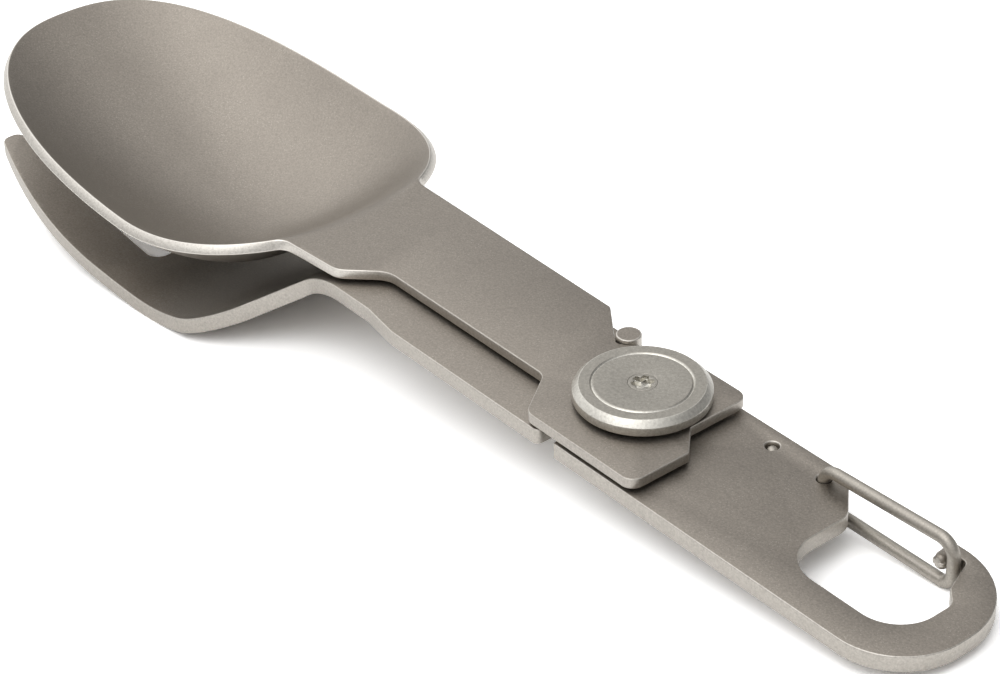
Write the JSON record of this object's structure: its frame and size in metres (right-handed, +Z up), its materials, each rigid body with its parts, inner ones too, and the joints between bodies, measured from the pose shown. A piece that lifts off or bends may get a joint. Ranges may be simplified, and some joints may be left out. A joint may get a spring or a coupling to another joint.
{
  "type": "folding spoon and fork set",
  "caption": "Spoon pivoting on a screwed cap over a four-tined fork, both on a clip handle with a sprung wire gate.",
  "frame": {"origin": "on the table, under the middle of the part's box as it lies at rest", "axes": "+X along the part towards the clip handle's end, +Z up from the table, +Y to the gate's side"},
  "size_m": [0.167, 0.0434, 0.0235],
  "materials": {
    "titanium_plate": "bead-blasted, warm grey",
    "titanium_cap": "bead-blasted, chamfer polished",
    "turned_steel": "turned, satin",
    "spring_wire": "drawn, satin"
  },
  "bodies": {
    "frame": {"handle_plate": "titanium_plate", "fork": "titanium_plate", "pivot_barrel": "turned_steel", "spacer_washer": "turned_steel", "cap_washer": "turned_steel", "pivot_cap": "titanium_cap", "pivot_screw": "turned_steel", "stop_pin": "turned_steel", "gate_wire_tail": "spring_wire"},
    "spoon": {"spoon": "titanium_plate"},
    "gate": {"gate_wire": "spring_wire"}
  },
  "joints": [
    {"name": "spoon_swing", "type": "hinge", "parent": "frame", "child": "spoon", "pos_m": [0.03401, 0, 0.00837], "axis": [0.0988, 0, 0.9951], "range_deg": [0, 155]},
    {"name": "gate_open", "type": "hinge", "parent": "frame", "child": "gate", "pos_m": [0.05555, 0.0064, 0.00472], "axis": [-0.0988, 0, -0.9951], "range_deg": [0, 28], "stiffness_Nm_per_rad": 0.05, "springref_deg": -5.73}
  ]
}
